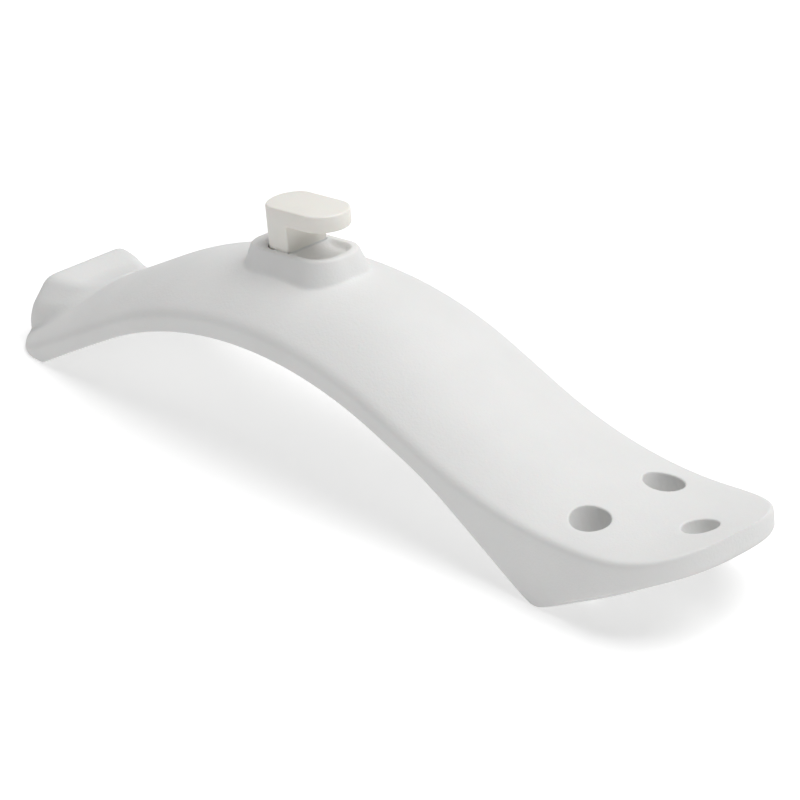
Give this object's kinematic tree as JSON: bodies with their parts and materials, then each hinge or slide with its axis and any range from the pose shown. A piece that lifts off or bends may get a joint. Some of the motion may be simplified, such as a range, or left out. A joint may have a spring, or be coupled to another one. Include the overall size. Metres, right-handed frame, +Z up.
{
  "type": "scooter rear mudguard",
  "caption": "White moulded rear mudguard for a folding kick scooter, with a stem-latch hook, a tail lamp in a hump, and screw wells at the deck end.",
  "frame": {"origin": "on the ground under the middle of the part, midway between the tail and the nose", "axes": "+X forwards, from the tail lamp to the deck; +Y to the left; +Z up, as it rests on its tail and its two gusset corners"},
  "size_m": [0.3161, 0.0722, 0.0864],
  "materials": {
    "shell_plastic": "fine spark-eroded grain",
    "hook_nylon": "satin",
    "brass": "turned",
    "zinc_steel": "zinc plated",
    "red_lens": "polished",
    "black_rubber": "matt",
    "reflector_plastic": "gloss white",
    "circuit_board": "solder mask",
    "diode": "encapsulated",
    "connector_plastic": "natural nylon"
  },
  "bodies": {
    "root": {"shell_tail": "shell_plastic", "shell_rear_arch": "shell_plastic", "shell_boss": "shell_plastic", "shell_front_arch": "shell_plastic", "shell_ramp": "shell_plastic", "shell_gusset": "shell_plastic", "shell_deck_end": "shell_plastic", "stem_hook": "hook_nylon", "hook_insert": "brass", "hook_washer": "zinc_steel", "hook_screw": "zinc_steel", "lamp_lens": "red_lens", "lamp_gasket": "black_rubber", "lamp_reflector": "reflector_plastic", "lamp_board": "circuit_board", "lamp_leds": "diode", "lamp_connector": "connector_plastic", "lamp_screws": "zinc_steel", "lead_grommet": "black_rubber"}
  },
  "joints": []
}
